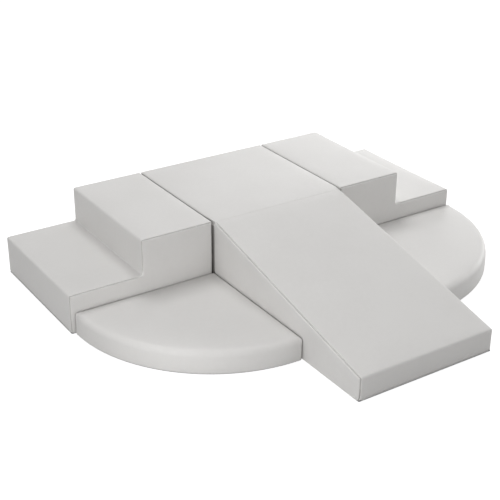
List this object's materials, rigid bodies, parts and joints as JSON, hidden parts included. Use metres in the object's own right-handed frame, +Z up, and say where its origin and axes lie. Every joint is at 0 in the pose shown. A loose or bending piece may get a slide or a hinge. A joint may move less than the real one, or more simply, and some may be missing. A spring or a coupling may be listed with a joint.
{
  "type": "soft play foam climber",
  "caption": "Low foam climbing set for toddlers: a platform block with steps on both sides, a ramp in front and quarter-round corner mats, in wipe-clean covers.",
  "frame": {"origin": "centre of the platform block's underside, on the floor", "axes": "+X to the right along the row of steps, block and steps; -Y down the ramp; +Z up"},
  "size_m": [1.8226, 1.495, 0.303],
  "materials": {
    "cover_leather": "matte, fine grain",
    "foam": "open-cell foam",
    "base_fabric": "dotted non-slip fabric",
    "zip_tape": "woven tape",
    "zip_metal": "satin",
    "hook_tape": "hook tape",
    "loop_tape": "loop tape"
  },
  "bodies": {
    "block": {"block_foam_core": "foam", "block_cover": "cover_leather", "block_base_panel": "base_fabric", "block_zip": "zip_tape", "block_hook_strip_left": "hook_tape", "block_hook_strip_right": "hook_tape", "block_hook_strip_front": "hook_tape"},
    "block_zip_slider": {"block_zip_slider": "zip_metal"},
    "block_zip_pull": {"block_zip_pull": "zip_metal"},
    "left_step": {"left_step_foam_core": "foam", "left_step_cover": "cover_leather", "left_step_base_panel": "base_fabric", "left_step_zip": "zip_tape", "left_step_loop_strip_inner": "loop_tape", "left_step_loop_strip_front": "loop_tape"},
    "left_step_zip_slider": {"left_step_zip_slider": "zip_metal"},
    "left_step_zip_pull": {"left_step_zip_pull": "zip_metal"},
    "right_step": {"right_step_foam_core": "foam", "right_step_cover": "cover_leather", "right_step_base_panel": "base_fabric", "right_step_zip": "zip_tape", "right_step_loop_strip_inner": "loop_tape", "right_step_loop_strip_front": "loop_tape"},
    "right_step_zip_slider": {"right_step_zip_slider": "zip_metal"},
    "right_step_zip_pull": {"right_step_zip_pull": "zip_metal"},
    "ramp": {"ramp_foam_core": "foam", "ramp_cover": "cover_leather", "ramp_base_panel": "base_fabric", "ramp_zip": "zip_tape", "ramp_loop_strip_rear": "loop_tape", "ramp_loop_strip_left": "loop_tape", "ramp_loop_strip_right": "loop_tape"},
    "ramp_zip_slider": {"ramp_zip_slider": "zip_metal"},
    "ramp_zip_pull": {"ramp_zip_pull": "zip_metal"},
    "left_mat": {"left_mat_foam_core": "foam", "left_mat_cover": "cover_leather", "left_mat_base_panel": "base_fabric", "left_mat_zip": "zip_tape", "left_mat_hook_strip_rear": "hook_tape", "left_mat_hook_strip_side": "hook_tape"},
    "left_mat_zip_slider": {"left_mat_zip_slider": "zip_metal"},
    "left_mat_zip_pull": {"left_mat_zip_pull": "zip_metal"},
    "right_mat": {"right_mat_foam_core": "foam", "right_mat_cover": "cover_leather", "right_mat_base_panel": "base_fabric", "right_mat_zip": "zip_tape", "right_mat_hook_strip_rear": "hook_tape", "right_mat_hook_strip_side": "hook_tape"},
    "right_mat_zip_slider": {"right_mat_zip_slider": "zip_metal"},
    "right_mat_zip_pull": {"right_mat_zip_pull": "zip_metal"}
  },
  "joints": [
    {"name": "left_step_pull_off", "type": "slide", "parent": "block", "child": "left_step", "axis": [-1, 0, 0], "range_m": [0, 0.3]},
    {"name": "right_step_pull_off", "type": "slide", "parent": "block", "child": "right_step", "axis": [1, 0, 0], "range_m": [0, 0.3]},
    {"name": "ramp_pull_off", "type": "slide", "parent": "block", "child": "ramp", "axis": [0, -1, 0], "range_m": [0, 0.3]},
    {"name": "left_mat_pull_off", "type": "slide", "parent": "block", "child": "left_mat", "axis": [-0.7071, -0.7071, 0], "range_m": [0, 0.3]},
    {"name": "right_mat_pull_off", "type": "slide", "parent": "block", "child": "right_mat", "axis": [0.7071, -0.7071, 0], "range_m": [0, 0.3]},
    {"name": "block_zip_slide", "type": "slide", "parent": "block", "child": "block_zip_slider", "axis": [1, 0, 0], "range_m": [0, 0.454]},
    {"name": "block_zip_pull_swing", "type": "hinge", "parent": "block_zip_slider", "child": "block_zip_pull", "pos_m": [-0.227, 0.225, 0.00385], "axis": [0, 1, 0], "range_deg": [0, 180]},
    {"name": "left_step_zip_slide", "type": "slide", "parent": "left_step", "child": "left_step_zip_slider", "axis": [1, 0, 0], "range_m": [0, 0.456]},
    {"name": "left_step_zip_pull_swing", "type": "hinge", "parent": "left_step_zip_slider", "child": "left_step_zip_pull", "pos_m": [-0.834, 0.225, 0.00385], "axis": [0, 1, 0], "range_deg": [0, 180]},
    {"name": "right_step_zip_slide", "type": "slide", "parent": "right_step", "child": "right_step_zip_slider", "axis": [-1, 0, 0], "range_m": [0, 0.456]},
    {"name": "right_step_zip_pull_swing", "type": "hinge", "parent": "right_step_zip_slider", "child": "right_step_zip_pull", "pos_m": [0.834, 0.225, 0.00385], "axis": [0, -1, 0], "range_deg": [0, 180]},
    {"name": "ramp_zip_slide", "type": "slide", "parent": "ramp", "child": "ramp_zip_slider", "axis": [1, 0, 0], "range_m": [0, 0.454]},
    {"name": "ramp_zip_pull_swing", "type": "hinge", "parent": "ramp_zip_slider", "child": "ramp_zip_pull", "pos_m": [-0.227, -0.3675, 0.00385], "axis": [0, 1, 0], "range_deg": [0, 180]},
    {"name": "left_mat_zip_slide", "type": "slide", "parent": "left_mat", "child": "left_mat_zip_slider", "axis": [1, 0, 0], "range_m": [0, 0.442]},
    {"name": "left_mat_zip_pull_swing", "type": "hinge", "parent": "left_mat_zip_slider", "child": "left_mat_zip_pull", "pos_m": [-0.819, -0.369, 0.00385], "axis": [0, 1, 0], "range_deg": [0, 180]},
    {"name": "right_mat_zip_slide", "type": "slide", "parent": "right_mat", "child": "right_mat_zip_slider", "axis": [-1, 0, 0], "range_m": [0, 0.466]},
    {"name": "right_mat_zip_pull_swing", "type": "hinge", "parent": "right_mat_zip_slider", "child": "right_mat_zip_pull", "pos_m": [0.843, -0.369, 0.00385], "axis": [0, -1, 0], "range_deg": [0, 180]}
  ]
}
